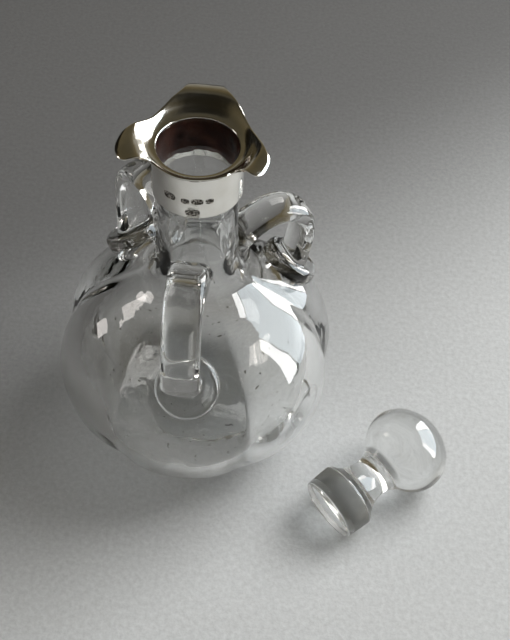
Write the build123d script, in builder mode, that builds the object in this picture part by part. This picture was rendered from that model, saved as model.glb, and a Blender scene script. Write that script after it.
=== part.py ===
from build123d import *
import math
import os

# Three-handled globular glass decanter, silver mounted, with a loose stopper lying beside it.
# Millimetres, Z up, origin at the middle of the base's underside, front handle towards -Y.

# ---------------------------------------------------------------- driving dimensions
LOBES = 6
LOBE_PEAK = 28.0        # bearing of one lobe's crest
LOBE_FULL = 1.8         # above 1 the lobes are full and the grooves between them narrow
GLOBE_R = 52.6          # greatest radius, at the middle of a lobe
GLOBE_Z = 43.7          # height of the greatest radius
GROOVE_DEPTH = 4.0      # at the greatest radius
BASE_R = 21.5
FOOT_DISH_R = 16.5
FOOT_DISH_DEPTH = 1.4
LIP_Z = 147.8           # top of the glass neck
BORE_R = 11.3           # straight part of the bore, under the ground seat
NECK_MOUNT_R = 14.2     # outside of the neck inside the sleeve
SEAT_Z = 137.0          # bottom of the ground seat for the plug
SEAT_R_LOW = 12.6
SEAT_R_TOP = 13.05
COLLAR_R = 15.0
COLLAR_IN = 14.5
COLLAR_BOTTOM = 131.5
COLLAR_TOP = 148.2
RIM_OPENING_R = 13.5
RIM_GAUGE = 0.8

# outside of the body at the middle of a lobe: (radius, height, groove depth there)
OUTER = [
    (BASE_R, 0.0, 0.6),
    (26.3, 3.4, 0.8),
    (33.6, 8.4, 1.1),
    (41.2, 15.6, 1.4),
    (47.6, 24.4, 1.9),
    (51.5, 34.5, 3.1),
    (GLOBE_R, GLOBE_Z, GROOVE_DEPTH),
    (51.4, 54.0, 4.2),
    (47.6, 64.0, 3.8),
    (41.2, 72.6, 3.0),
    (32.3, 79.6, 1.8),
    (24.2, 84.4, 0.9),
    (18.6, 89.6, 0.3),
    (15.8, 95.6, 0.0),
    (14.6, 103.0, 0.0),
]
# inside of the body, which follows the lobes about half as deep
INNER = [
    (13.0, 5.8, 0.0),
    (24.0, 9.0, 0.4),
    (34.0, 16.4, 0.6),
    (41.0, 26.0, 0.9),
    (44.6, 36.0, 1.4),
    (45.2, 44.0, 1.8),
    (44.0, 53.0, 1.9),
    (40.4, 62.2, 1.7),
    (34.4, 70.4, 1.4),
    (26.6, 77.2, 0.9),
    (19.4, 82.4, 0.4),
    (14.8, 87.0, 0.15),
    (12.4, 92.0, 0.0),
    (11.4, 98.0, 0.0),
    (11.3, 106.0, 0.0),
]

# handles: bearing, centre line of the strap (radius, height), strap width, thickness, foot bearing radius, foot radius,
# degrees that the foot sits aside of the strap
HANDLE_FRONT = (268.5, [(13.6, 103.0), (19.0, 110.0), (26.0, 114.0), (33.0, 112.8), (38.5, 107.0), (41.2, 99.0),
                        (42.2, 90.0), (42.4, 81.0), (41.6, 73.0)], 13.2, 6.6, 39.8, 11.2, 2.8)
HANDLE_RIGHT = (30.0, [(13.6, 99.5), (20.0, 105.0), (27.0, 108.0), (34.0, 107.5), (39.5, 103.5), (41.5, 96.0),
                       (41.0, 89.0), (39.8, 83.0), (38.4, 76.0)], 12.8, 6.6, 37.0, 10.9, 0.0)
HANDLE_LEFT = (137.0, [(13.6, 107.5), (18.5, 113.0), (25.0, 116.5), (31.0, 115.5), (35.0, 110.5), (36.3, 102.0),
                       (36.3, 94.0), (36.2, 86.0), (35.8, 77.5)], 12.6, 6.6, 35.3, 10.7, 0.0)
FOOT_THICK = 4.6        # foot pad, out from the shoulder
TAIL_DROP = 21.0        # how far the tail runs down the neck
TAIL_OUT = 4.2

# stopper, along its own axis from the plug's end
STOPPER = [
    (11.9, 0.0),
    (12.6, 0.6),
    (12.7, 3.0),
    (13.0, 9.9),
]
BALL_S = 39.6           # ball centre along the axis
BALL_R = 17.2
BALL_HALF = 14.4        # half height of the oblate ball
WAIST_R = 7.7
SHANK_TOP_R = 9.3
# lying on the table: end of the plug, direction of the axis on the table, rise
STOP_X, STOP_Y = 55.4, -48.8
STOP_YAW = 42.0
STOP_REST_R = 13.0


def lobed_points(radius, depth, n=72):
    pts = []
    for i in range(n):
        a = 2 * math.pi * i / n + math.radians(LOBE_PEAK)
        c = math.cos(LOBES / 2 * (a - math.radians(LOBE_PEAK)))
        crest = math.sqrt((c * c + 0.012) / 1.012)
        low = math.sqrt(0.012 / 1.012)
        r = radius - depth * (1 - (crest - low) / (1 - low)) ** LOBE_FULL
        pts.append((r * math.cos(a), r * math.sin(a)))
    return pts


# ---------------------------------------------------------------- bottle
with BuildPart() as body_outer:
    for radius, height, depth in OUTER:
        with BuildSketch(Plane.XY.offset(height)):
            with BuildLine():
                Spline(*lobed_points(radius, depth), periodic=True)
            make_face()
    loft()

with BuildPart() as body_inner:
    for radius, height, depth in INNER:
        with BuildSketch(Plane.XY.offset(height)):
            with BuildLine():
                Spline(*lobed_points(radius, depth), periodic=True)
            make_face()
    loft()

with BuildPart() as bottle:
    add(body_outer.part)
    # neck and the part of it that sits inside the sleeve
    with BuildSketch(Plane.XZ):
        with BuildLine():
            Polyline((0, 100), (14.9, 100))
            Spline((14.9, 100), (14.3, 105.5), (13.85, 112), (13.65, 120), (13.65, 129),
                   tangents=((-0.25, 1), (0, 1)))
            Spline((13.65, 129), (13.95, 131.6), (NECK_MOUNT_R, 134), tangents=((0, 1), (0, 1)))
            Polyline((NECK_MOUNT_R, 134), (NECK_MOUNT_R, LIP_Z), (0, LIP_Z), (0, 100))
        make_face()
    revolve(axis=Axis.Z)
    # hollow, and the bore of the neck
    add(body_inner.part, mode=Mode.SUBTRACT)
    with BuildSketch(Plane.XZ):
        with BuildLine():
            Polyline((0, 103), (11.42, 103), (BORE_R, 107), (BORE_R, 125), (SEAT_R_LOW, SEAT_Z), (SEAT_R_TOP, LIP_Z),
                     (SEAT_R_TOP, 150), (0, 150), (0, 103))
        make_face()
    revolve(axis=Axis.Z, mode=Mode.SUBTRACT)
    # shallow polished dish under the base
    with BuildSketch(Plane.XZ):
        with BuildLine():
            Polyline((0, -1), (0, FOOT_DISH_DEPTH))
            ThreePointArc((0, FOOT_DISH_DEPTH), (FOOT_DISH_R * 0.55, FOOT_DISH_DEPTH * 0.68), (FOOT_DISH_R, 0))
            Polyline((FOOT_DISH_R, 0), (FOOT_DISH_R, -1), (0, -1))
        make_face()
    revolve(axis=Axis.Z, mode=Mode.SUBTRACT)

# the whole outside, solid, to trim what is stuck to it
with BuildPart() as outside:
    add(body_outer.part)
    with BuildSketch(Plane.XZ):
        with BuildLine():
            Polyline((0, 100), (14.9, 100))
            Spline((14.9, 100), (14.3, 105.5), (13.85, 112), (13.65, 120), (13.65, 129),
                   tangents=((-0.25, 1), (0, 1)))
            Polyline((13.65, 129), (0, 129), (0, 100))
        make_face()
    revolve(axis=Axis.Z)


def shoulder_height(r):
    """Height of the lobe's crest at this radius, above the greatest radius."""
    rows = [(a, b) for a, b, _ in OUTER if b >= GLOBE_Z]
    for (r0, z0), (r1, z1) in zip(rows, rows[1:]):
        if r1 <= r <= r0:
            return z0 + (z1 - z0) * (r - r0) / (r1 - r0)
    return rows[-1][1]


def make_pad(pad_r):
    """Round foot pad, standing on its own XY plane, 2.5 mm of it below to bed in the shoulder."""
    top = FOOT_THICK + 2.5
    with BuildPart() as pad:
        with BuildSketch(Plane.XZ):
            with BuildLine():
                Polyline((0, 0), (pad_r, 0), (pad_r, top - 1.5))
                ThreePointArc((pad_r, top - 1.5), (pad_r - 0.44, top - 0.44), (pad_r - 1.5, top))
                Polyline((pad_r - 1.5, top), (0, top), (0, 0))
            make_face()
        revolve(axis=Axis.Z)
    return pad.part


def make_handle(spec):
    """One strap in the XZ plane, with its foot pad and its tail, before it is turned and trimmed."""
    bearing, line, width, thick, foot_r, pad_r, aside = spec
    foot_z = shoulder_height(foot_r)
    nx = shoulder_height(foot_r - 2) - shoulder_height(foot_r + 2)
    nz = 4.0
    nl = math.hypot(nx, nz)
    nx, nz = nx / nl, nz / nl
    seat = Plane(origin=(foot_r - nx * 2.5, 0, foot_z - nz * 2.5), z_dir=(nx, 0, nz), x_dir=(0, 1, 0))
    pad = Rotation(0, 0, aside) * (seat.location * make_pad(pad_r))
    top_z = line[0][1]
    with BuildPart() as piece:
        with BuildLine():
            path = Spline(*[Vector(r, 0, z) for r, z in line])
        with BuildSketch(Plane(origin=path @ 0, z_dir=path % 0, x_dir=(0, 1, 0))):
            RectangleRounded(width, thick, thick * 0.42)
        sweep(path=path)
        add(pad)
        # tail on the neck: an upright tapering tongue
        for k, (w, t) in enumerate(((3.0, 0.5), (7.2, 1.4), (10.4, 2.6), (12.4, 3.7), (width, TAIL_OUT))):
            z = top_z - TAIL_DROP + k * (TAIL_DROP + 1.0) / 4
            low = max(100 - z, 0)
            neck_r = 14.6 + low * low * 0.016 + low * 0.07
            with BuildSketch(Plane.XY.offset(z)):
                with Locations((neck_r - 3.0 + t, 0)):
                    RectangleRounded(6.0, w, min(w, 6.0) * 0.42)
        loft()
    return piece.part


handles = []
for name, spec in (("handle_front", HANDLE_FRONT), ("handle_right", HANDLE_RIGHT), ("handle_left", HANDLE_LEFT)):
    turned = Rotation(0, 0, spec[0]) * make_handle(spec)
    with BuildPart() as handle:
        add(turned)
        add(outside.part, mode=Mode.SUBTRACT)
    handle.part.label = name
    handles.append((name, handle.part))

# ---------------------------------------------------------------- silver
with BuildPart() as collar:
    with BuildSketch(Plane.XY.offset(COLLAR_BOTTOM)):
        Circle(COLLAR_R)
        Circle(COLLAR_IN, mode=Mode.SUBTRACT)
    extrude(amount=COLLAR_TOP - COLLAR_BOTTOM)

# plan of the rim's edge, once round from the front right
RIM_PLAN = [
    (9.7, -13.6), (11.3, -12.2), (12.6, -11.6), (14.2, -12.4), (17.0, -14.5), (19.2, -14.8), (20.9, -13.6), (22.0, -11.5),
    (22.8, -7.4), (21.1, -2.9), (18.2, 3.3), (15.7, 8.0), (11.9, 15.3), (8.9, 20.4), (6.3, 24.6), (5.3, 25.9), (0.1, 26.2),
    (-5.1, 25.9), (-6.1, 24.5), (-7.9, 20.2), (-10.7, 16.1), (-13.4, 12.0), (-16.1, 7.9), (-18.8, 4.9), (-21.4, 2.3),
    (-23.6, -0.9), (-25.0, -6.5), (-23.8, -10.6), (-21.6, -12.3), (-19.5, -12.4), (-16.5, -11.3), (-14.0, -10.3),
    (-12.3, -11.1), (-10.2, -12.6), (-7.0, -14.6), (-3.8, -15.6), (0.7, -15.8), (5.3, -15.0),
]
with BuildPart() as pouring_rim:
    with BuildSketch(Plane.XZ):
        with BuildLine():
            Polyline((RIM_OPENING_R, COLLAR_TOP), (15.4, COLLAR_TOP))
            Spline((15.4, COLLAR_TOP), (15.9, 148.8), (18.0, 150.6), (19.8, 152.05), (21.2, 152.7), (22.7, 152.6),
                   (24.15, 152.25), (25.65, 151.6), (27.2, 150.6), (28.55, 149.9))
            Line((28.55, 149.9), (29.0, 150.6))
            Spline((29.0, 150.6), (27.6, 151.3), (26.0, 152.3), (24.4, 153.0), (22.8, 153.4), (21.2, 153.5),
                   (20.3, 153.3), (19.3, 152.7), (17.5, 151.2), (15.4, 149.6), (RIM_OPENING_R, COLLAR_TOP + RIM_GAUGE))
            Line((RIM_OPENING_R, COLLAR_TOP + RIM_GAUGE), (RIM_OPENING_R, COLLAR_TOP))
        make_face()
    revolve(axis=Axis.Z)
    # three lips drawn out to spouts with straight ends, the sides between them nearly straight
    with BuildSketch(Plane.XY.offset(COLLAR_TOP - 1)):
        with BuildLine():
            Spline(*RIM_PLAN, periodic=True)
        make_face()
    extrude(amount=12, mode=Mode.INTERSECT)

with BuildPart() as cement:
    with BuildSketch(Plane.XZ):
        with BuildLine():
            Polyline((NECK_MOUNT_R, 134.2), (COLLAR_IN, 134.2), (COLLAR_IN, COLLAR_TOP), (13.6, COLLAR_TOP),
                     (13.6, LIP_Z), (NECK_MOUNT_R, LIP_Z), (NECK_MOUNT_R, 134.2))
        make_face()
    revolve(axis=Axis.Z)

# ---------------------------------------------------------------- stopper
shoulder_s = STOPPER[-1][1]
join = -math.acos(SHANK_TOP_R / BALL_R)
ball = []
for i in range(15):
    t = join + (math.pi / 2 - join) * i / 14
    ball.append((BALL_R * math.cos(t) if i < 14 else 0.0, BALL_S + BALL_HALF * math.sin(t)))
ball_start = (-BALL_R * math.sin(join), BALL_HALF * math.cos(join))
with BuildPart() as stopper_up:
    with BuildSketch(Plane.XZ):
        with BuildLine():
            Polyline((0, 0.5), (8.0, 0.2), *STOPPER)
            Spline(STOPPER[-1], (12.2, shoulder_s + 1.3), (9.6, shoulder_s + 4.4), (8.0, shoulder_s + 8.6),
                   (WAIST_R, shoulder_s + 11.6), (8.2, shoulder_s + 14.4), (SHANK_TOP_R, shoulder_s + 16.6))
            Line((SHANK_TOP_R, shoulder_s + 16.6), ball[0])
            Spline(*ball, tangents=(ball_start, (-1, 0)))
            Line(ball[-1], (0, 0.5))
        make_face()
    revolve(axis=Axis.Z)

rise = math.degrees(math.asin((BALL_R - STOP_REST_R) / (BALL_S - shoulder_s)))
laid = Plane(
    origin=(0, 0, 0),
    z_dir=(math.cos(math.radians(rise)) * math.cos(math.radians(STOP_YAW)),
           math.cos(math.radians(rise)) * math.sin(math.radians(STOP_YAW)), math.sin(math.radians(rise))),
    x_dir=(math.sin(math.radians(STOP_YAW)), -math.cos(math.radians(STOP_YAW)), 0),
)
laid_solid = laid.location * stopper_up.part
lift = -laid_solid.bounding_box().min.Z
laid_solid = Pos(STOP_X, STOP_Y, lift) * laid_solid
with BuildPart() as stopper:
    add(laid_solid)

# ---------------------------------------------------------------- export
os.makedirs("parts", exist_ok=True)

bottle.part.label = "bottle"
export_step(bottle.part, "parts/bottle.step")
for name, solid in handles:
    export_step(solid, "parts/" + name + ".step")
collar.part.label = "collar"
export_step(collar.part, "parts/collar.step")
pouring_rim.part.label = "pouring_rim"
export_step(pouring_rim.part, "parts/pouring_rim.step")
cement.part.label = "cement"
export_step(cement.part, "parts/cement.step")
stopper.part.label = "stopper"
export_step(stopper.part, "parts/stopper.step")
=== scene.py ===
import math

import bpy
import numpy as np
from mathutils import Matrix, Vector


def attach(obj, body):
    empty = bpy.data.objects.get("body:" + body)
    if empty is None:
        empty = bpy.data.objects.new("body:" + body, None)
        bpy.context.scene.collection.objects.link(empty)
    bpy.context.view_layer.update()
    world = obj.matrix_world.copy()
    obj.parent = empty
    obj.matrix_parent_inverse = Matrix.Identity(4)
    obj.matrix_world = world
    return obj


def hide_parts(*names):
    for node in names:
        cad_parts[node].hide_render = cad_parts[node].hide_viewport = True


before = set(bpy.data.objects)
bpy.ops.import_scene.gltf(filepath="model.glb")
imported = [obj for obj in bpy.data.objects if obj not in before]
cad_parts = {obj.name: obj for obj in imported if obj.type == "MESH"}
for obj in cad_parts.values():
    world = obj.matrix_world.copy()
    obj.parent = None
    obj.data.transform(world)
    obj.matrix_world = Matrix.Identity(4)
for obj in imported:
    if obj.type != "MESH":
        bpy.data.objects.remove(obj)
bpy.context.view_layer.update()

scene = bpy.context.scene

# ------------------------------------------------------------------ helpers (lengths in mm until to_metres)


def cubic(rows, count, closed_ends=None):
    """Smooth curve through the rows (any number of columns), sampled at count points along its length."""
    p = np.array(rows, float)
    seg = np.hypot(*np.diff(p[:, :2], axis=0).T)
    t = np.r_[0, np.cumsum(seg)]
    n = len(t)
    a = np.zeros((n, n))
    b = np.zeros((n, p.shape[1]))
    a[0, 0] = a[-1, -1] = 1.0
    for i in range(1, n - 1):
        h0, h1 = t[i] - t[i - 1], t[i + 1] - t[i]
        a[i, i - 1], a[i, i], a[i, i + 1] = h0, 2 * (h0 + h1), h1
        b[i] = 6 * ((p[i + 1] - p[i]) / h1 - (p[i] - p[i - 1]) / h0)
    if closed_ends is not None:  # given end tangents
        d0, d1 = (np.array(v, float) for v in closed_ends)
        h = t[1] - t[0]
        a[0, 0], a[0, 1] = 2 * h, h
        b[0] = 6 * ((p[1] - p[0]) / h - d0)
        h = t[-1] - t[-2]
        a[-1, -1], a[-1, -2] = 2 * h, h
        b[-1] = 6 * (d1 - (p[-1] - p[-2]) / h)
    m = np.linalg.solve(a, b)
    out = []
    for s in np.linspace(0, t[-1], count):
        i = min(max(int(np.searchsorted(t, s)) - 1, 0), n - 2)
        h = t[i + 1] - t[i]
        u, v = (t[i + 1] - s) / h, (s - t[i]) / h
        out.append(u * p[i] + v * p[i + 1] + ((u**3 - u) * m[i] + (v**3 - v) * m[i + 1]) * h * h / 6)
    return np.array(out)


def arc(cx, cy, radius, start, stop, count):
    t = np.radians(np.linspace(start, stop, count))
    return np.stack([cx + radius * np.cos(t), cy + radius * np.sin(t)], 1)


def add_mesh(name, verts, faces):
    me = bpy.data.meshes.new(name)
    me.from_pydata([tuple(map(float, v)) for v in verts], [], faces)
    me.update()
    ob = bpy.data.objects.new(name, me)
    scene.collection.objects.link(ob)
    return ob


def rings(grid, closed=False, cap=True):
    """Faces and verts of a tube of rings. A ring whose points coincide becomes one point. closed joins last to first."""
    verts, index = [], []
    for ring in grid:
        ring = np.asarray(ring, float)
        if np.ptp(ring, axis=0).max() < 1e-6:
            index.append([len(verts)] * len(ring))
            verts.append(ring[0])
        else:
            index.append(list(range(len(verts), len(verts) + len(ring))))
            verts.extend(ring)
    faces = []
    count = len(index[0])
    pairs = list(zip(index, index[1:])) + ([(index[-1], index[0])] if closed else [])
    for low, high in pairs:
        for i in range(count):
            j = (i + 1) % count
            f = [low[i], low[j], high[j], high[i]]
            f = [v for k, v in enumerate(f) if v != f[k - 1]]
            if len(f) > 2:
                faces.append(f)
    if not closed and cap:
        for row, turn in ((index[0], -1), (index[-1], 1)):
            if row[0] != row[1]:
                faces.append(row[::turn])
    return verts, faces


def lathe(name, profile, count=192):
    """Revolves (radius, height) points round Z, from the lowest point on the axis round to the highest."""
    t = np.linspace(0, 2 * math.pi, count, endpoint=False)
    c, s = np.cos(t), np.sin(t)
    grid = [np.stack([r * c, r * s, np.full(count, z)], 1) for r, z in profile]
    return add_mesh(name, *rings(grid))


def evaluated(ob):
    """The object with its modifiers applied, in place."""
    graph = bpy.context.evaluated_depsgraph_get()
    me = bpy.data.meshes.new_from_object(ob.evaluated_get(graph))
    old = ob.data
    ob.modifiers.clear()
    ob.data = me
    bpy.data.meshes.remove(old)
    return ob


def boolean(ob, other, operation):
    m = ob.modifiers.new("b", "BOOLEAN")
    m.operation = operation
    m.object = other
    m.solver = "MANIFOLD"
    evaluated(ob)
    bpy.data.objects.remove(other)
    return ob


def melt(ob, voxel, rounds, factor=0.5):
    """Overlapping closed solids run together, with soft joints."""
    m = ob.modifiers.new("r", "REMESH")
    m.mode = "VOXEL"
    m.voxel_size = voxel
    m = ob.modifiers.new("s", "SMOOTH")
    m.factor = factor
    m.iterations = rounds
    return evaluated(ob)


def joined(name, objects):
    verts, faces = [], []
    for o in objects:
        base = len(verts)
        verts.extend(o.matrix_world @ v.co for v in o.data.vertices)
        faces.extend([base + i for i in p.vertices] for p in o.data.polygons)
        bpy.data.objects.remove(o)
    return add_mesh(name, verts, faces)


def to_metres(ob):
    ob.data.transform(Matrix.Scale(0.001, 4))
    ob.data.update()
    return ob


def smooth(ob, angle=38):
    ob.data.polygons.foreach_set("use_smooth", [True] * len(ob.data.polygons))
    ob.data.set_sharp_from_angle(angle=math.radians(angle))
    return ob


def finish_piece(ob, body, slot, *nodes):
    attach(ob, body)
    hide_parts(*nodes)


# ------------------------------------------------------------------ bottle and handles, one piece of glass

LOBE_PEAK, LOBE_FULL = 28.0, 1.8
# outside at the middle of a lobe: radius, height, groove depth
OUTER = [
    (21.5, 0.0, 0.6), (26.3, 3.4, 0.8), (33.6, 8.4, 1.1), (41.2, 15.6, 1.4), (47.6, 24.4, 1.9), (51.5, 34.5, 3.1),
    (52.6, 43.7, 4.0), (51.4, 54.0, 4.2), (47.6, 64.0, 3.8), (41.2, 72.6, 3.0), (32.3, 79.6, 1.8), (24.2, 84.4, 0.9),
    (18.6, 89.6, 0.3), (15.9, 95.6, 0.0), (14.85, 100.5, 0.0), (14.3, 105.5, 0.0), (13.85, 112.0, 0.0),
    (13.65, 120.0, 0.0), (13.65, 128.0, 0.0), (13.95, 131.8, 0.0), (14.2, 134.4, 0.0),
]
# inside, which follows the lobes about half as deep
INNER = [
    (0.0, 5.5, 0.0), (13.0, 5.8, 0.0), (24.0, 9.0, 0.4), (34.0, 16.4, 0.6), (41.0, 26.0, 0.9), (44.6, 36.0, 1.4),
    (45.2, 44.0, 1.8), (44.0, 53.0, 1.9), (40.4, 62.2, 1.7), (34.4, 70.4, 1.4), (26.6, 77.2, 0.9), (19.4, 82.4, 0.4),
    (14.8, 87.0, 0.15), (12.4, 92.0, 0.0), (11.4, 98.0, 0.0), (11.3, 106.0, 0.0),
]


def groove(angle):
    """1 at the bottom of a groove, 0 on a lobe's crest."""
    c = np.cos(3 * (angle - math.radians(LOBE_PEAK)))
    low = math.sqrt(0.012 / 1.012)
    return (1 - (np.sqrt((c * c + 0.012) / 1.012) - low) / (1 - low)) ** LOBE_FULL


def body_solid():
    t = np.linspace(0, 2 * math.pi, 720, endpoint=False)
    shape = groove(t)
    rows = []
    dish = cubic([(0.0, 1.4), (9.1, 0.95), (15.6, 0.12)], 14)
    rows += [(r, z, 0.0) for r, z in dish]
    rows += [(r, z, 0.0) for r, z in ((16.2, 0.0), (17.2, -0.0), (18.8, 0.0), (20.0, 0.0))]
    wall = cubic(OUTER, 230)
    wall[0] = (21.2, 0.02, 0.5)
    rows += [tuple(w) for w in wall]
    rows += [(14.2, 138.0, 0.0), (14.2, 143.0, 0.0), (14.2, 147.0, 0.0), (14.1, 147.5, 0.0), (13.8, 147.75, 0.0),
             (13.4, 147.8, 0.0), (0.0, 147.8, 0.0)]
    grid = []
    for r, z, d in rows:
        rad = np.maximum(r - d * shape, 0)
        grid.append(np.stack([rad * np.cos(t), rad * np.sin(t), np.full(len(t), z)], 1))
    for ring in grid:
        ring[:, 2] = np.maximum(ring[:, 2], 0.04)
    return add_mesh("decanter_glass", *rings(grid))


def cavity():
    t = np.linspace(0, 2 * math.pi, 540, endpoint=False)
    shape = groove(t)
    rows = [tuple(w) for w in cubic(INNER, 170, closed_ends=((1, 0, 0), (0, 1, 0)))]
    rows += [(r, z, 0.0) for r, z in (
        (11.3, 112.0), (11.3, 118.0), (11.3, 124.6), (11.38, 125.8), (12.6, 137.0), (12.8, 142.0), (13.0, 146.4),
        (13.15, 147.2), (13.4, 147.7), (13.9, 148.4), (14.0, 152.0), (0.0, 152.0))]
    grid = []
    for r, z, d in rows:
        rad = np.maximum(r - d * shape, 0)
        grid.append(np.stack([rad * np.cos(t), rad * np.sin(t), np.full(len(t), z)], 1))
    return add_mesh("cavity", *rings(grid))


def shoulder_height(r):
    rows = [(a, b) for a, b, _ in OUTER if b >= 43.7]
    for (r0, z0), (r1, z1) in zip(rows, rows[1:]):
        if r1 <= r <= r0:
            return z0 + (z1 - z0) * (r - r0) / (r1 - r0)


def superellipse(width, height, power, count=56):
    t = np.linspace(0, 2 * math.pi, count, endpoint=False)
    c, s = np.cos(t), np.sin(t)
    return np.stack([width / 2 * np.sign(c) * np.abs(c) ** (2 / power),
                     height / 2 * np.sign(s) * np.abs(s) ** (2 / power)], 1)


# bearing, centre line (radius, height), strap width, thickness, foot radius, pad radius, degrees the foot sits aside
HANDLES = {
    "front": (268.5, [(12.4, 101.6), (13.6, 103), (19, 110), (26, 114), (33, 112.8), (38.5, 107), (41.2, 99), (42.2, 90),
                      (42.4, 81), (41.6, 73.6)], 13.2, 6.6, 39.8, 11.2, 2.8),
    "right": (30.0, [(12.4, 98.0), (13.6, 99.5), (20, 105), (27, 108), (34, 107.5), (39.5, 103.5), (41.5, 96), (41, 89),
                     (39.8, 83), (38.6, 77)], 12.8, 6.6, 37.0, 10.9, 0.0),
    "left": (137.0, [(12.4, 106.0), (13.6, 107.5), (18.5, 113), (25, 116.5), (31, 115.5), (35, 110.5), (36.3, 102),
                     (36.3, 94), (36.2, 86), (35.9, 78.5)], 12.6, 6.6, 35.3, 10.7, 0.0),
}


def handle_solid(name):
    bearing, line, width, thick, foot_r, pad_r, aside = HANDLES[name]
    path = cubic(line, 90)
    tang = np.gradient(path, axis=0)
    tang /= np.linalg.norm(tang, axis=1)[:, None]
    norm = np.stack([-tang[:, 1], tang[:, 0]], 1)
    grid = []
    n = len(path)
    for k in range(n):
        f = k / (n - 1)
        # drawn glass: a little wider where it was stuck on at either end
        w = width * (1 + 0.10 * math.exp(-((f / 0.16) ** 2)) + 0.05 * math.exp(-(((1 - f) / 0.12) ** 2)))
        h = thick * (1 + 0.12 * math.exp(-((f / 0.14) ** 2)) + 0.06 * math.exp(-(((1 - f) / 0.10) ** 2)))
        sec = superellipse(w, h, 3.0)
        pts = np.zeros((len(sec), 3))
        pts[:, 0] = path[k, 0] + norm[k, 0] * sec[:, 1]
        pts[:, 1] = sec[:, 0]
        pts[:, 2] = path[k, 1] + norm[k, 1] * sec[:, 1]
        grid.append(pts)
    strap = add_mesh("strap", *rings(grid))
    # foot pad, pressed on along the shoulder's normal
    foot_z = shoulder_height(foot_r)
    nx = shoulder_height(foot_r - 2) - shoulder_height(foot_r + 2)
    nz = 4.0
    ln = math.hypot(nx, nz)
    nx, nz = nx / ln, nz / ln
    top = 4.6
    profile = [(0, -4.0), (pad_r - 1.4, -4.0), (pad_r - 0.5, -3.2), (pad_r - 0.1, -1.2), (pad_r + 0.1, 0.8),
               (pad_r + 0.05, 2.4), (pad_r - 0.3, 3.5), (pad_r - 1.1, 4.25), (pad_r - 2.2, top), (pad_r - 4.5, top + 0.1),
               (0, top + 0.25)]
    pad = lathe("pad", profile, 96)
    turn = Matrix(((nz, 0, nx), (0, 1, 0), (-nx, 0, nz))).to_4x4()
    pad.data.transform(Matrix.Rotation(math.radians(aside), 4, "Z") @ Matrix.Translation((foot_r, 0, foot_z)) @ turn)
    # tail down the neck
    rows = cubic([(0.0, 2.4, 0.35), (5.3, 6.9, 1.3), (10.6, 10.2, 2.5), (16.0, 12.3, 3.6), (22.0, width, 4.2)], 40)
    grid = []
    top_z = line[1][1]
    for up, w, out in rows:
        z = top_z - 21.0 + up
        low = max(100 - z, 0)
        neck_r = 14.6 + low * low * 0.016 + low * 0.07 if z < 105 else 14.25
        sec = superellipse(w, 6.0, 2.6)
        grid.append(np.stack([neck_r - 3.0 + out + sec[:, 1], sec[:, 0], np.full(len(sec), z)], 1))
    tail = add_mesh("tail", *rings(grid))
    solid = joined("handle_" + name, [strap, pad, tail])
    solid = melt(solid, 0.34, 7)
    solid.data.transform(Matrix.Rotation(math.radians(bearing), 4, "Z"))
    return solid


glass = body_solid()
for which in HANDLES:
    glass = boolean(glass, handle_solid(which), "UNION")
glass = boolean(glass, cavity(), "DIFFERENCE")
smooth(to_metres(glass), 34)

# ------------------------------------------------------------------ stopper

BALL_S, BALL_R, BALL_HALF, SHANK = 39.6, 17.2, 14.4, 9.3
GROUND_FROM, GROUND_TO = 2.6, 9.7


def stopper_profile():
    end = [(0, 0.45), (4, 0.4), (8.0, 0.2), (10.6, 0.02), (11.6, 0.0)]
    edge = [tuple(p) for p in arc(11.8, 0.75, 0.75, -80, -8, 6)]
    plug = [(12.62, 1.6), (12.68, GROUND_FROM), (12.76, 4.2), (12.84, 6.0), (12.92, 8.0), (12.98, GROUND_TO)]
    join = -math.acos(SHANK / BALL_R)
    waist = cubic([(12.98, GROUND_TO), (12.7, 10.5), (11.9, 11.4), (9.7, 14.2), (8.1, 18.2), (7.7, 21.3), (8.2, 24.2),
                   (9.2, 26.3), (10.2, 27.9)], 60)
    ball = []
    for i in range(73):
        t = join + 0.10 + (math.pi / 2 - join - 0.10) * i / 72
        ball.append((BALL_R * math.cos(t) if i < 72 else 0.0, BALL_S + BALL_HALF * math.sin(t)))
    return end + edge + plug + [tuple(p) for p in waist[1:]] + [p for p in ball if p[1] > waist[-1][1] + 0.2]


stop_profile = stopper_profile()
stopper = lathe("stopper_glass", stop_profile, 256)
rise = math.asin((BALL_R - 13.0) / (BALL_S - 9.9))
yaw = math.radians(42.0)
z_dir = Vector((math.cos(rise) * math.cos(yaw), math.cos(rise) * math.sin(yaw), math.sin(rise)))
x_dir = Vector((math.sin(yaw), -math.cos(yaw), 0))
y_dir = z_dir.cross(x_dir)
laid = Matrix((x_dir, y_dir, z_dir)).transposed().to_4x4()
along = np.array([v.co.z for v in stopper.data.vertices])
stopper.data.transform(laid)
low = min(v.co.z for v in stopper.data.vertices)
stopper.data.transform(Matrix.Translation((55.4, -48.8, -low)))
ground_faces = []
for poly in stopper.data.polygons:
    s = [along[i] for i in poly.vertices]
    if min(s) >= GROUND_FROM - 0.01 and max(s) <= GROUND_TO + 0.01:
        ground_faces.append(poly.index)
smooth(to_metres(stopper), 50)

# ------------------------------------------------------------------ silver

COLLAR_R, COLLAR_IN, COLLAR_BOTTOM, COLLAR_TOP = 15.0, 14.5, 131.5, 148.2


# bearing, height, half width and half height of five small plain punched shields
MARKS = ((239.5, 139.0, 2.0, 1.25), (260.5, 138.8, 1.25, 0.95), (275.5, 139.0, 1.75, 1.05), (290.5, 138.9, 1.25, 0.95),
         (269.5, 134.0, 2.1, 1.25))


def mark_depth(bearing_deg, z):
    total = 0.0
    for bearing, mz, half_w, half_h in MARKS:
        dx = ((bearing_deg - bearing + 180) % 360 - 180) * math.pi / 180 * COLLAR_R
        q = (np.abs(dx) / half_w) ** 3.2 + (np.abs(z - mz) / half_h) ** 3.2
        total = total + 1 / (1 + np.exp(np.clip((q - 1) * 9, -40, 40)))
    return total


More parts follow.
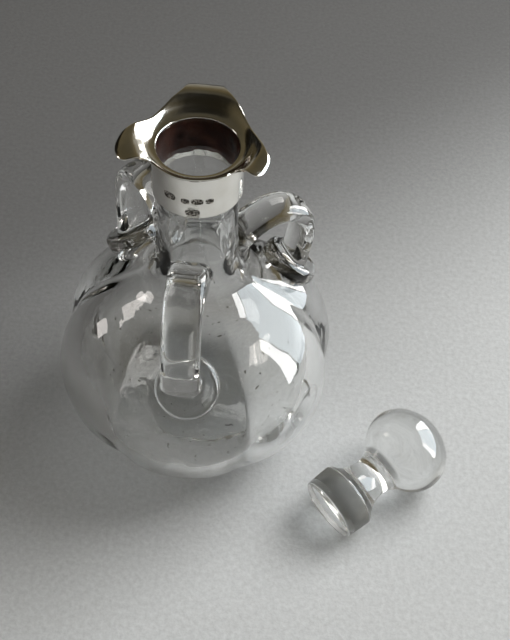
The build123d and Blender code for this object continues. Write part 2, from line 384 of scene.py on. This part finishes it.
def collar_piece():
    count = 900
    t = np.linspace(0, 2 * math.pi, count, endpoint=False)
    outer = [(COLLAR_IN + 0.02, 131.62)] + [tuple(p) for p in arc(14.75, 131.74, 0.24, 190, 350, 9)]
    outer += [(COLLAR_R, z) for z in np.linspace(132.1, 147.6, 120)]
    outer += [(COLLAR_R + 0.02, 147.9), (15.1, COLLAR_TOP)]
    inner = [(COLLAR_IN, COLLAR_TOP), (COLLAR_IN, 140.0), (COLLAR_IN, 132.0)]
    grid = []
    for k, (r, z) in enumerate(outer + inner):
        rad = np.full(count, r)
        if k < len(outer):
            # hand-raised sheet: never quite round
            rad = rad + 0.035 * np.sin(3 * t + 0.4 + 0.05 * z) * min(1, max(0, (z - 131.4) / 3)) * 0.6
            rad = rad - 0.20 * mark_depth(np.degrees(t), z)
        grid.append(np.stack([rad * np.cos(t), rad * np.sin(t), np.full(count, z)], 1))
    return add_mesh("silver_collar", *rings(grid, closed=True))


# plan of the rim's edge, once round from the front right: three lips drawn out to spouts, the sides between them straight
RIM_PLAN = [
    (9.7, -13.6), (11.3, -12.2), (12.6, -11.6), (14.2, -12.4), (17.0, -14.5), (19.2, -14.8), (20.9, -13.6), (22.0, -11.5),
    (22.8, -7.4), (21.1, -2.9), (18.2, 3.3), (15.7, 8.0), (11.9, 15.3), (8.9, 20.4), (6.4, 24.8), (5.6, 26.3), (0.1, 26.8),
    (-5.4, 26.3), (-6.2, 24.7), (-7.9, 20.2), (-10.7, 16.1), (-13.4, 12.0), (-16.1, 7.9), (-18.8, 4.9), (-21.4, 2.3),
    (-23.6, -0.9), (-25.0, -6.5), (-23.8, -10.6), (-21.6, -12.3), (-19.5, -12.4), (-16.5, -11.3), (-14.0, -10.3),
    (-12.3, -11.1), (-10.2, -12.6), (-7.0, -14.6), (-3.8, -15.6), (0.7, -15.8), (5.3, -15.0),
]
LIP_BEARINGS = (89.0, 209.0, 329.0)


def rim_outline(count):
    """Radius of the rim's edge at count bearings."""
    p = np.array(RIM_PLAN)
    n = len(p)
    out = []
    for i in range(n):
        p0, p1, p2, p3 = (p[(i + d) % n] for d in (-1, 0, 1, 2))
        for u in np.linspace(0, 1, 30, endpoint=False):
            out.append(0.5 * (2 * p1 + (p2 - p0) * u + (2 * p0 - 5 * p1 + 4 * p2 - p3) * u * u
                              + (3 * p1 - p0 - 3 * p2 + p3) * u**3))
    out = np.array(out)
    bear = np.maximum.accumulate(np.unwrap(np.arctan2(out[:, 1], out[:, 0])))
    rad = np.hypot(out[:, 0], out[:, 1])
    bb = np.r_[bear - 2 * math.pi, bear, bear + 2 * math.pi] + np.arange(3 * len(bear)) * 1e-9
    return np.interp(np.linspace(0, 2 * math.pi, count, endpoint=False), bb, np.r_[rad, rad, rad])


def rim_piece():
    count = 1080
    t = np.linspace(0, 2 * math.pi, count, endpoint=False)
    edge = rim_outline(count)
    for _ in range(2):
        edge = (np.roll(edge, 1) + 2 * edge + np.roll(edge, -1)) / 4
    funnel = cubic([(13.5, 149.0), (14.3, 149.15), (15.4, 149.6), (17.5, 151.2), (19.3, 152.7), (20.3, 153.3), (21.2, 153.5),
                    (22.8, 153.4), (24.4, 153.0), (26.0, 152.3), (27.6, 151.3), (29.0, 150.6)], 300)

    def height(r):
        return np.interp(r, funnel[:, 0], funnel[:, 1])

    steps = 64
    gauge = 0.8
    top, under = [], []
    inner_r = 13.5
    for k in range(steps + 1):
        f = k / steps
        r = inner_r + (edge - inner_r) * f
        # the edge is turned down a very little all round
        z = height(r) - np.clip((f - 0.9) / 0.1, 0, 1) ** 2 * 0.18
        # shallow channel down the middle of each lip
        for bearing in LIP_BEARINGS:
            d = ((np.degrees(t) - bearing + 180) % 360 - 180) * math.pi / 180 * r
            z = z - 0.35 * np.exp(-((d / 4.2) ** 2)) * np.clip((r - 15.5) / 5, 0, 1)
        top.append(np.stack([r * np.cos(t), r * np.sin(t), z], 1))
    top = np.array(top)
    # underside: the same sheet, a gauge lower along its own normal
    du = np.gradient(top, axis=0)
    dv = np.roll(top, -1, axis=1) - np.roll(top, 1, axis=1)
    nor = np.cross(du, dv)
    nor /= np.linalg.norm(nor, axis=2)[:, :, None] + 1e-12
    nor *= np.sign(nor[:, :, 2:3])
    under = top - nor * gauge
    grid = [top[k] for k in range(steps + 1)]
    # rounded outer edge
    mid = (top[-1] + under[-1]) / 2
    out = top[-1] - top[-3]
    out /= np.linalg.norm(out, axis=1)[:, None]
    up = nor[-1]
    for a in np.radians([60, 30, 0, -30, -60]):
        grid.append(mid + out * (0.42 * math.cos(a)) + up * (gauge / 2 * math.sin(a)))
    grid += [under[k] for k in range(steps, -1, -1)]
    # rounded inner edge
    mid = (top[0] + under[0]) / 2
    inn = -np.stack([np.cos(t), np.sin(t), np.zeros(count)], 1)
    for a in np.radians([-50, 0, 50]):
        grid.append(mid + inn * (0.3 * math.cos(a)) + np.array([0, 0, 1.0]) * (gauge / 2 * math.sin(a)))
    return add_mesh("silver_rim", *rings([g for g in grid], closed=True))


collar = collar_piece()
# faces inside the punched marks, which take the darker silver
dark_mark_faces = []
for poly in collar.data.polygons:
    c = poly.center
    if math.hypot(c.x, c.y) > 14.7 and 132.2 < c.z < 147.5:
        if float(mark_depth(math.degrees(math.atan2(c.y, c.x)), c.z)) > 0.04:
            dark_mark_faces.append(poly.index)
smooth(to_metres(collar), 60)
rim = rim_piece()
smooth(to_metres(rim), 60)


def cement_piece():
    count = 360
    t = np.linspace(0, 2 * math.pi, count, endpoint=False)
    rows = [(14.12, 134.4), (14.12, 138.0), (14.12, 142.0), (14.12, 147.2), (13.6, 147.86), (13.55, 148.1), (14.0, 148.25),
            (14.46, 148.2), (14.48, 142.0), (14.48, 138.0), (14.48, 134.3)]
    grid = []
    for k, (r, z) in enumerate(rows):
        rag = 0.0
        if k in (0, 10):
            rag = 0.35 * np.sin(5 * t + 1.0) + 0.25 * np.sin(11 * t + 2.1) + 0.12 * np.sin(23 * t)
        grid.append(np.stack([r * np.cos(t), r * np.sin(t), np.full(count, z) + rag], 1))
    return add_mesh("cement_ring", *rings(grid, closed=True))


cement = cement_piece()
smooth(to_metres(cement), 60)

# ------------------------------------------------------------------ materials


def material(name):
    m = bpy.data.materials.new(name)
    m.use_nodes = True
    nt = m.node_tree
    bsdf = nt.nodes["Principled BSDF"]
    return m, nt, bsdf


def node(nt, kind, **values):
    n = nt.nodes.new(kind)
    for k, v in values.items():
        if k in n.inputs:
            n.inputs[k].default_value = v
        else:
            setattr(n, k, v)
    return n


def ramp(nt, stops):
    n = nt.nodes.new("ShaderNodeValToRGB")
    els = n.color_ramp.elements
    while len(els) < len(stops):
        els.new(0.5)
    for e, (pos, col) in zip(els, stops):
        e.position = pos
        e.color = (*col, 1) if len(col) == 3 else col
    return n


def object_coords(nt):
    return nt.nodes.new("ShaderNodeTexCoord").outputs["Object"]


def glass_material(name, wave=1.0, specks_below=-1.0):
    m, nt, b = material(name)
    b.inputs["Base Color"].default_value = (1, 1, 1, 1)
    b.inputs["Roughness"].default_value = 0.0
    b.inputs["IOR"].default_value = 1.54
    b.inputs["Transmission Weight"].default_value = 1.0
    co = object_coords(nt)
    # very slightly uneven tint, as in old hand-made flint glass
    n1 = node(nt, "ShaderNodeTexNoise", Scale=28.0, Detail=2.0)
    nt.links.new(co, n1.inputs["Vector"])
    tint = ramp(nt, [(0.3, (0.945, 0.95, 0.945)), (0.7, (0.975, 0.975, 0.968))])
    nt.links.new(n1.outputs["Fac"], tint.inputs["Fac"])
    # a few dark specks of dried sediment, low down
    sep = nt.nodes.new("ShaderNodeSeparateXYZ")
    nt.links.new(co, sep.inputs[0])
    cells = node(nt, "ShaderNodeTexVoronoi", Scale=210.0)
    nt.links.new(co, cells.inputs["Vector"])
    spot = node(nt, "ShaderNodeMath", operation="LESS_THAN")
    nt.links.new(cells.outputs["Distance"], spot.inputs[0])
    spot.inputs[1].default_value = 0.10
    low = node(nt, "ShaderNodeMath", operation="LESS_THAN")
    nt.links.new(sep.outputs["Z"], low.inputs[0])
    low.inputs[1].default_value = specks_below
    both = node(nt, "ShaderNodeMath", operation="MULTIPLY")
    nt.links.new(spot.outputs[0], both.inputs[0])
    nt.links.new(low.outputs[0], both.inputs[1])
    speck = node(nt, "ShaderNodeMix", data_type="RGBA")
    nt.links.new(both.outputs[0], speck.inputs["Factor"])
    nt.links.new(tint.outputs["Color"], speck.inputs["A"])
    speck.inputs["B"].default_value = (0.10, 0.09, 0.07, 1)
    nt.links.new(speck.outputs["Result"], b.inputs["Base Color"])
    # slow waviness of blown glass, and a fine orange peel
    w1 = node(nt, "ShaderNodeTexNoise", Scale=55.0, Detail=1.0)
    w2 = node(nt, "ShaderNodeTexNoise", Scale=240.0, Detail=1.0)
    nt.links.new(co, w1.inputs["Vector"])
    nt.links.new(co, w2.inputs["Vector"])
    mix = node(nt, "ShaderNodeMath", operation="MULTIPLY_ADD")
    nt.links.new(w2.outputs["Fac"], mix.inputs[0])
    mix.inputs[1].default_value = 0.08
    nt.links.new(w1.outputs["Fac"], mix.inputs[2])
    bump = node(nt, "ShaderNodeBump", Strength=1.0, Distance=0.00035 * wave)
    nt.links.new(mix.outputs[0], bump.inputs["Height"])
    nt.links.new(bump.outputs["Normal"], b.inputs["Normal"])
    return m


def ground_material():
    m, nt, b = material("ground_glass")
    b.inputs["IOR"].default_value = 1.52
    b.inputs["Transmission Weight"].default_value = 1.0
    co = object_coords(nt)
    n1 = node(nt, "ShaderNodeTexNoise", Scale=900.0, Detail=3.0)
    nt.links.new(co, n1.inputs["Vector"])
    rough = ramp(nt, [(0.3, (0.42, 0.42, 0.42)), (0.7, (0.62, 0.62, 0.62))])
    nt.links.new(n1.outputs["Fac"], rough.inputs["Fac"])
    nt.links.new(rough.outputs["Color"], b.inputs["Roughness"])
    # painted shade: the ground band is given a dark grey colour, so the frosted glass looks as dark as it does in shade
    # and lets little light through to its shadow
    col = ramp(nt, [(0.3, (0.17, 0.168, 0.150)), (0.7, (0.28, 0.276, 0.252))])
    n2 = node(nt, "ShaderNodeTexNoise", Scale=120.0, Detail=2.0)
    nt.links.new(co, n2.inputs["Vector"])
    nt.links.new(n2.outputs["Fac"], col.inputs["Fac"])
    nt.links.new(col.outputs["Color"], b.inputs["Base Color"])
    bump = node(nt, "ShaderNodeBump", Strength=0.5, Distance=0.00006)
    nt.links.new(n1.outputs["Fac"], bump.inputs["Height"])
    nt.links.new(bump.outputs["Normal"], b.inputs["Normal"])
    return m


def seat_material():
    """Matt ground seat inside the neck."""
    m, nt, b = material("ground_seat")
    b.inputs["IOR"].default_value = 1.22
    b.inputs["Transmission Weight"].default_value = 1.0
    co = object_coords(nt)
    n1 = node(nt, "ShaderNodeTexNoise", Scale=260.0, Detail=2.0)
    nt.links.new(co, n1.inputs["Vector"])
    rough = ramp(nt, [(0.3, (0.16, 0.16, 0.16)), (0.7, (0.26, 0.26, 0.26))])
    nt.links.new(n1.outputs["Fac"], rough.inputs["Fac"])
    nt.links.new(rough.outputs["Color"], b.inputs["Roughness"])
    n2 = node(nt, "ShaderNodeTexNoise", Scale=90.0, Detail=2.0)
    nt.links.new(co, n2.inputs["Vector"])
    col = ramp(nt, [(0.3, (0.66, 0.50, 0.43)), (0.7, (0.80, 0.68, 0.62))])
    nt.links.new(n2.outputs["Fac"], col.inputs["Fac"])
    nt.links.new(col.outputs["Color"], b.inputs["Base Color"])
    return m


def silver_material():
    m, nt, b = material("silver")
    b.inputs["Metallic"].default_value = 1.0
    co = object_coords(nt)
    n1 = node(nt, "ShaderNodeTexNoise", Scale=70.0, Detail=4.0)
    nt.links.new(co, n1.inputs["Vector"])
    col = ramp(nt, [(0.25, (0.78, 0.75, 0.69)), (0.6, (0.94, 0.925, 0.885))])
    nt.links.new(n1.outputs["Fac"], col.inputs["Fac"])
    nt.links.new(col.outputs["Color"], b.inputs["Base Color"])
    # fine polishing scratches running round the neck
    stretch = node(nt, "ShaderNodeMapping")
    stretch.inputs["Scale"].default_value = (60, 60, 900)
    nt.links.new(co, stretch.inputs["Vector"])
    n2 = node(nt, "ShaderNodeTexNoise", Scale=1.0, Detail=3.0)
    nt.links.new(stretch.outputs["Vector"], n2.inputs["Vector"])
    rough = ramp(nt, [(0.3, (0.07, 0.07, 0.07)), (0.75, (0.20, 0.20, 0.20))])
    nt.links.new(n2.outputs["Fac"], rough.inputs["Fac"])
    nt.links.new(rough.outputs["Color"], b.inputs["Roughness"])
    n3 = node(nt, "ShaderNodeTexNoise", Scale=130.0, Detail=2.0)
    nt.links.new(co, n3.inputs["Vector"])
    mix = node(nt, "ShaderNodeMath", operation="MULTIPLY_ADD")
    nt.links.new(n2.outputs["Fac"], mix.inputs[0])
    mix.inputs[1].default_value = 0.12
    nt.links.new(n3.outputs["Fac"], mix.inputs[2])
    bump = node(nt, "ShaderNodeBump", Strength=1.0, Distance=0.00022)
    nt.links.new(mix.outputs[0], bump.inputs["Height"])
    nt.links.new(bump.outputs["Normal"], b.inputs["Normal"])
    return m


def dark_mark_material():
    m, nt, b = material("dark_mark_silver")
    b.inputs["Metallic"].default_value = 1.0
    b.inputs["Roughness"].default_value = 0.45
    co = object_coords(nt)
    n1 = node(nt, "ShaderNodeTexNoise", Scale=1500.0, Detail=3.0)
    nt.links.new(co, n1.inputs["Vector"])
    # near-black silver colour inside the punched marks, with light flecks
    col = ramp(nt, [(0.38, (0.030, 0.026, 0.022)), (0.5, (0.12, 0.108, 0.095)), (0.6, (0.62, 0.60, 0.56))])
    nt.links.new(n1.outputs["Fac"], col.inputs["Fac"])
    nt.links.new(col.outputs["Color"], b.inputs["Base Color"])
    return m


def cement_material():
    m, nt, b = material("old_cement")
    b.inputs["Roughness"].default_value = 0.85
    co = object_coords(nt)
    n1 = node(nt, "ShaderNodeTexNoise", Scale=160.0, Detail=5.0)
    nt.links.new(co, n1.inputs["Vector"])
    col = ramp(nt, [(0.3, (0.030, 0.008, 0.005)), (0.55, (0.090, 0.026, 0.015)), (0.8, (0.18, 0.060, 0.036))])
    nt.links.new(n1.outputs["Fac"], col.inputs["Fac"])
    nt.links.new(col.outputs["Color"], b.inputs["Base Color"])
    bump = node(nt, "ShaderNodeBump", Strength=0.6, Distance=0.0001)
    nt.links.new(n1.outputs["Fac"], bump.inputs["Height"])
    nt.links.new(bump.outputs["Normal"], b.inputs["Normal"])
    return m


clear = glass_material("clear_glass", 1.5, 0.032)
ground = ground_material()
silver = silver_material()
old_cement = cement_material()

glass.data.materials.clear()
glass.data.materials.append(clear)
glass.data.materials.append(seat_material())
for poly in glass.data.polygons:
    c = poly.center
    if 0.1335 < c.z < 0.1472 and math.hypot(c.x, c.y) < 0.0133:
        poly.material_index = 1
stopper.data.materials.append(glass_material("stopper_clear", 1.2))
stopper.data.materials.append(ground)
for i in ground_faces:
    stopper.data.polygons[i].material_index = 1
collar.data.materials.append(silver)
collar.data.materials.append(dark_mark_material())
for i in dark_mark_faces:
    collar.data.polygons[i].material_index = 1
rim.data.materials.append(silver)
cement.data.materials.append(old_cement)

finish_piece(glass, "decanter", "glass", "bottle", "handle_front", "handle_left", "handle_right")
finish_piece(stopper, "stopper", "stopper_glass", "stopper")
finish_piece(collar, "decanter", "silver", "collar")
finish_piece(rim, "decanter", "silver", "pouring_rim")
finish_piece(cement, "decanter", "cement", "cement")

# ------------------------------------------------------------------ floor

bpy.ops.mesh.primitive_plane_add(size=4.0, location=(0, 0, 0))
floor = bpy.context.active_object
floor.name = "floor_sheet"
fm, fnt, fb = material("pale_cloth")
fb.inputs["Roughness"].default_value = 0.95
fb.inputs["Specular IOR Level"].default_value = 0.15
fco = fnt.nodes.new("ShaderNodeTexCoord").outputs["Object"]
fn = node(fnt, "ShaderNodeTexNoise", Scale=520.0, Detail=4.0, Roughness=0.7)
fnt.links.new(fco, fn.inputs["Vector"])
# painted light and shade: the cloth's colour is made lighter towards the window and darker behind, standing in for the
# window's pool of light and the shade behind
fsep = fnt.nodes.new("ShaderNodeSeparateXYZ")
fnt.links.new(fco, fsep.inputs[0])
fx = node(fnt, "ShaderNodeMath", operation="MULTIPLY_ADD")
fnt.links.new(fsep.outputs["X"], fx.inputs[0])
fx.inputs[1].default_value = 21.4
fx.inputs[2].default_value = 1.0
fy = node(fnt, "ShaderNodeMath", operation="MULTIPLY_ADD")
fnt.links.new(fsep.outputs["Y"], fy.inputs[0])
fy.inputs[1].default_value = -28.4
fnt.links.new(fx.outputs[0], fy.inputs[2])
painted_light_map = node(fnt, "ShaderNodeMapRange", interpolation_type="SMOOTHERSTEP")
painted_light_map.inputs["From Min"].default_value = -4.5
painted_light_map.inputs["From Max"].default_value = 4.5
fnt.links.new(fy.outputs[0], painted_light_map.inputs["Value"])
painted_light_ramp = ramp(fnt, [(0.0, (0.190, 0.192, 0.194)), (1.0, (0.775, 0.802, 0.822))])
fnt.links.new(painted_light_map.outputs["Result"], painted_light_ramp.inputs["Fac"])
fgrain = ramp(fnt, [(0.3, (0.84, 0.84, 0.84)), (0.7, (1.05, 1.05, 1.05))])
fnt.links.new(fn.outputs["Fac"], fgrain.inputs["Fac"])
fmix = node(fnt, "ShaderNodeMix", data_type="RGBA", blend_type="MULTIPLY")
fmix.inputs["Factor"].default_value = 1.0
fnt.links.new(painted_light_ramp.outputs["Color"], fmix.inputs["A"])
fnt.links.new(fgrain.outputs["Color"], fmix.inputs["B"])
fnt.links.new(fmix.outputs["Result"], fb.inputs["Base Color"])
fbump = node(fnt, "ShaderNodeBump", Strength=0.5, Distance=0.0004)
fnt.links.new(fn.outputs["Fac"], fbump.inputs["Height"])
fnt.links.new(fbump.outputs["Normal"], fb.inputs["Normal"])
floor.data.materials.append(fm)

# ------------------------------------------------------------------ light


def area(name, location, target, size_x, size_y, power, color=(1, 1, 1)):
    data = bpy.data.lights.new(name, "AREA")
    data.shape = "RECTANGLE"
    data.size, data.size_y = size_x, size_y
    data.energy = power
    data.color = color
    ob = bpy.data.objects.new(name, data)
    scene.collection.objects.link(ob)
    ob.location = location
    ob.rotation_mode = "QUATERNION"
    ob.rotation_quaternion = (Vector(target) - Vector(location)).to_track_quat("-Z", "Y")
    return ob


# the window's light, from the right and a little behind, above the table
LIGHT_AZ, LIGHT_EL, LIGHT_AWAY, LIGHT_SIDE = math.radians(26.0), math.radians(50.0), 0.62, 0.42
light_at = Vector((math.cos(LIGHT_EL) * math.cos(LIGHT_AZ), math.cos(LIGHT_EL) * math.sin(LIGHT_AZ),
                   math.sin(LIGHT_EL))) * LIGHT_AWAY
key = area("window_light", light_at, (0, 0, 0.03), LIGHT_SIDE, LIGHT_SIDE, 3.6 * math.pi * LIGHT_SIDE**2, (1.0, 0.99, 0.97))
key.visible_glossy = False
# the part of it that thick uneven glass scatters and so keeps off the cloth beneath
veil = area("window_veil", light_at, (0, 0, 0.03), LIGHT_SIDE, LIGHT_SIDE, 3.5 * math.pi * LIGHT_SIDE**2, (1.0, 0.99, 0.97))
veil.visible_glossy = False
veil.visible_transmission = False
# soft light off the ceiling
ceiling = area("ceiling_light", (-0.40, -0.10, 0.95), (0, 0, 0), 1.4, 1.4, 0.24 * math.pi * 1.96)
ceiling.visible_glossy = False
ceiling.visible_transmission = False

# the window's panes, as they show in the silver and the glass
PANE_AZ, PANE_AWAY, PANE_LOW, PANE_HIGH = math.radians(18.0), 0.48, 0.06, 0.60


def pane(name, start, stop, radiance, color):
    """One pane, between two distances across from the middle of the window."""
    out = Vector((math.cos(PANE_AZ), math.sin(PANE_AZ), 0))
    side_ways = Vector((-math.sin(PANE_AZ), math.cos(PANE_AZ), 0))
    at = out * PANE_AWAY + side_ways * ((start + stop) / 2) + Vector((0, 0, (PANE_LOW + PANE_HIGH) / 2))
    width, height = stop - start, PANE_HIGH - PANE_LOW
    ob = area(name, at, at - out, width, height, radiance * math.pi * width * height, color)
    ob.visible_diffuse = False
    ob.visible_transmission = False
    return ob


pane("pane_left", -0.315, -0.192, 13.0, (1.0, 1.0, 1.0))
pane("pane_middle", -0.182, 0.150, 6.6, (0.82, 0.93, 1.0))
pane("pane_right", 0.160, 0.330, 13.0, (1.0, 1.0, 1.0))

# a farther window on the other side, small and warm
far_at = Vector((-0.66, 0.05, 0.33))
far = area("far_window", far_at, (0, 0, 0.04), 0.15, 0.15, 7.0 * math.pi * 0.0225, (1.0, 0.94, 0.90))

world = bpy.data.worlds.new("room")
scene.world = world
world.use_nodes = True
wnt = world.node_tree
bg = wnt.nodes["Background"]
tc = wnt.nodes.new("ShaderNodeTexCoord")
sep = wnt.nodes.new("ShaderNodeSeparateXYZ")
wnt.links.new(tc.outputs["Generated"], sep.inputs[0])
# pale round the table's level, dark wood and ceiling above, lighter on the window's side
up = ramp(wnt, [(0.0, (0.17, 0.165, 0.145)), (0.22, (0.135, 0.122, 0.092)), (0.42, (0.075, 0.060, 0.032)),
                (0.75, (0.046, 0.039, 0.023)), (1.0, (0.042, 0.038, 0.028))])
wnt.links.new(sep.outputs["Z"], up.inputs["Fac"])
side = node(wnt, "ShaderNodeMapRange")
side.inputs["From Min"].default_value = -1.0
side.inputs["From Max"].default_value = 1.0
side.inputs["To Min"].default_value = 1.15
side.inputs["To Max"].default_value = 1.7
wnt.links.new(sep.outputs["X"], side.inputs["Value"])
lit = node(wnt, "ShaderNodeVectorMath", operation="SCALE")
wnt.links.new(up.outputs["Color"], lit.inputs[0])
wnt.links.new(side.outputs["Result"], lit.inputs["Scale"])
# whoever holds the camera, dark, over the front
person = node(wnt, "ShaderNodeVectorMath", operation="DOT_PRODUCT")
wnt.links.new(tc.outputs["Generated"], person.inputs[0])
person.inputs[1].default_value = (-0.08, -0.46, 0.885)
shade = node(wnt, "ShaderNodeMapRange", interpolation_type="SMOOTHSTEP")
shade.inputs["From Min"].default_value = 0.72
shade.inputs["From Max"].default_value = 0.93
shade.inputs["To Min"].default_value = 1.0
shade.inputs["To Max"].default_value = 0.22
wnt.links.new(person.outputs["Value"], shade.inputs["Value"])
dim = node(wnt, "ShaderNodeVectorMath", operation="SCALE")
wnt.links.new(lit.outputs[0], dim.inputs[0])
wnt.links.new(shade.outputs["Result"], dim.inputs["Scale"])
# and a dark doorway, low on the far left
door = node(wnt, "ShaderNodeVectorMath", operation="DOT_PRODUCT")
wnt.links.new(tc.outputs["Generated"], door.inputs[0])
door.inputs[1].default_value = (-0.76, 0.61, 0.22)
gloom = node(wnt, "ShaderNodeMapRange", interpolation_type="SMOOTHSTEP")
gloom.inputs["From Min"].default_value = 0.90
gloom.inputs["From Max"].default_value = 0.955
gloom.inputs["To Min"].default_value = 1.0
gloom.inputs["To Max"].default_value = 0.06
wnt.links.new(door.outputs["Value"], gloom.inputs["Value"])
dark = node(wnt, "ShaderNodeVectorMath", operation="SCALE")
wnt.links.new(dim.outputs[0], dark.inputs[0])
wnt.links.new(gloom.outputs["Result"], dark.inputs["Scale"])
wnt.links.new(dark.outputs[0], bg.inputs["Color"])
bg.inputs["Strength"].default_value = 1.0

# ------------------------------------------------------------------ camera

cam_data = bpy.data.cameras.new("camera")
cam_data.sensor_fit = "AUTO"
cam_data.sensor_width = 36.0
cam_data.lens = 1138.507 * 36.0 / 640.0
cam_data.clip_start = 0.01
cam_data.clip_end = 20.0
cam = bpy.data.objects.new("camera", cam_data)
scene.collection.objects.link(cam)
right = Vector((0.9963212062183208, 0.07352606511556822, 0.044022400982811474))
down = Vector((0.08499801901199935, -0.7823422007414352, -0.6170218940224763))
ahead = Vector((-0.01092660989081317, 0.6184938145912773, -0.785713694998773))
turn = Matrix((right, -down, -ahead)).transposed().to_4x4()
cam.matrix_world = Matrix.Translation((0.0264091699, -0.26255177827, 0.39675544292)) @ turn
scene.camera = cam

# light has to get into and out of thick glass more than once
scene.cycles.max_bounces = 32
scene.cycles.transmission_bounces = 32
scene.cycles.glossy_bounces = 12
scene.cycles.diffuse_bounces = 4

scene.view_settings.view_transform = "Standard"
scene.view_settings.look = "None"
scene.view_settings.exposure = 0.0
